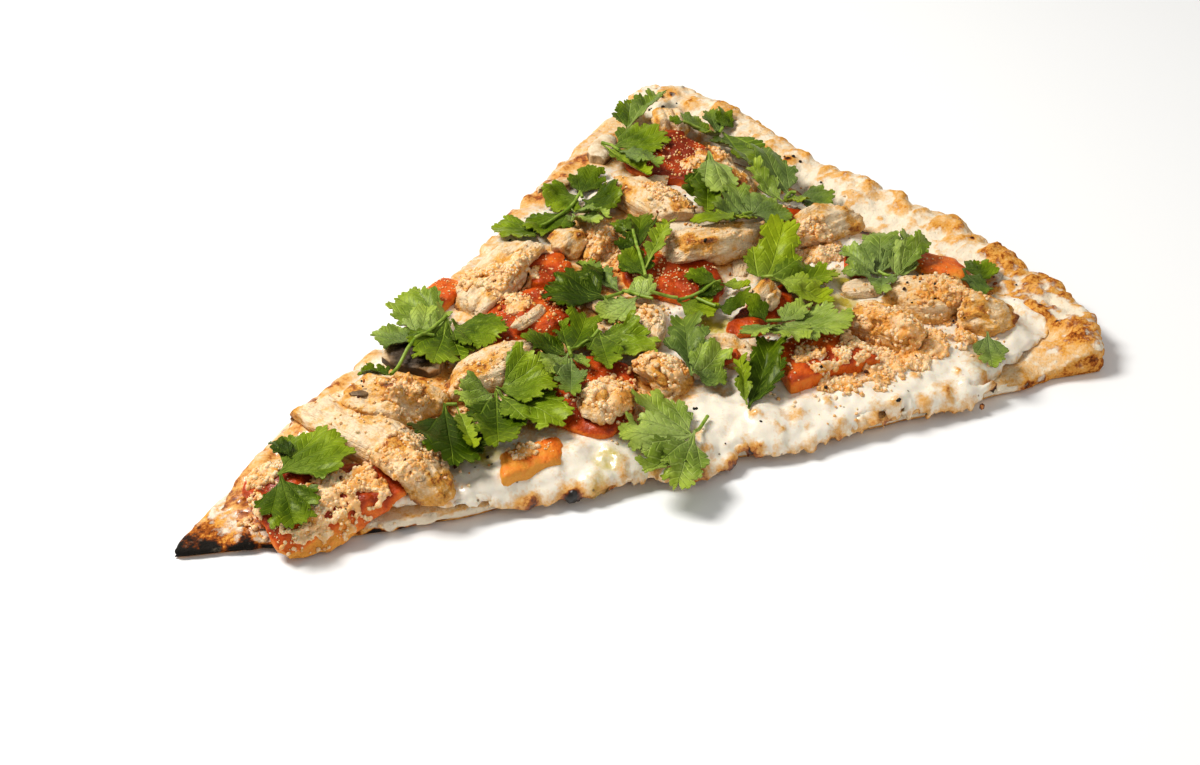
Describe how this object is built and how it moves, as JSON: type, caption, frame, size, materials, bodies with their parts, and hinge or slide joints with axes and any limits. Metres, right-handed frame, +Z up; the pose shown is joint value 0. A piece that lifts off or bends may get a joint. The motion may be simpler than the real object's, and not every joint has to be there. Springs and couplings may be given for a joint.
{
  "type": "garlic chicken pizza slice",
  "caption": "Cut wedge of thin-crust pizza with melted cheese, chicken chunks, tomato, mushroom, garlic crumbs and fresh cilantro leaves on top.",
  "frame": {"origin": "middle of the slice's underside, in the plane that it rests on", "axes": "+X from the tip to the browned rim, +Y across the slice to the side cut that is far from the camera, +Z up through the toppings"},
  "size_m": [0.229, 0.1718, 0.0186],
  "materials": {
    "baked_bread": "matte baked crumb, browned and blistered at the rim",
    "melted_cheese": "soft gloss, slightly oily",
    "tomato_flesh": "wet gloss",
    "mushroom_flesh": "satin with a dark gilled underside",
    "cooked_chicken": "satin, fibrous, browned in spots",
    "herb_leaf": "satin"
  },
  "bodies": {
    "root": {"crust": "baked_bread", "cheese": "melted_cheese", "tomato_tip": "tomato_flesh", "tomato_01": "tomato_flesh", "tomato_02": "tomato_flesh", "tomato_03": "tomato_flesh", "tomato_04": "tomato_flesh", "tomato_05": "tomato_flesh", "tomato_06": "tomato_flesh", "tomato_07": "tomato_flesh", "tomato_08": "tomato_flesh", "tomato_09": "tomato_flesh", "tomato_10": "tomato_flesh", "tomato_11": "tomato_flesh", "mushroom_01": "mushroom_flesh", "mushroom_02": "mushroom_flesh", "mushroom_03": "mushroom_flesh", "chicken_01": "cooked_chicken", "chicken_02": "cooked_chicken", "chicken_03": "cooked_chicken", "chicken_04": "cooked_chicken", "chicken_05": "cooked_chicken", "chicken_06": "cooked_chicken", "chicken_07": "cooked_chicken", "chicken_08": "cooked_chicken", "chicken_09": "cooked_chicken", "chicken_10": "cooked_chicken", "chicken_11": "cooked_chicken", "chicken_12": "cooked_chicken", "chicken_13": "cooked_chicken", "chicken_14": "cooked_chicken", "chicken_15": "cooked_chicken", "chicken_16": "cooked_chicken", "chicken_17": "cooked_chicken", "chicken_18": "cooked_chicken", "chicken_19": "cooked_chicken", "chicken_20": "cooked_chicken", "leaf_01": "herb_leaf", "leaf_02": "herb_leaf", "leaf_03": "herb_leaf", "leaf_04": "herb_leaf", "leaf_05": "herb_leaf", "leaf_06": "herb_leaf", "leaf_07": "herb_leaf", "leaf_08": "herb_leaf", "leaf_09": "herb_leaf", "leaf_10": "herb_leaf", "leaf_11": "herb_leaf", "leaf_12": "herb_leaf", "leaf_13": "herb_leaf", "leaf_14": "herb_leaf", "leaf_15": "herb_leaf", "leaf_16": "herb_leaf", "leaf_17": "herb_leaf", "leaf_18": "herb_leaf", "leaf_19": "herb_leaf", "leaf_20": "herb_leaf", "leaf_21": "herb_leaf", "leaf_22": "herb_leaf", "leaf_23": "herb_leaf"}
  },
  "joints": []
}
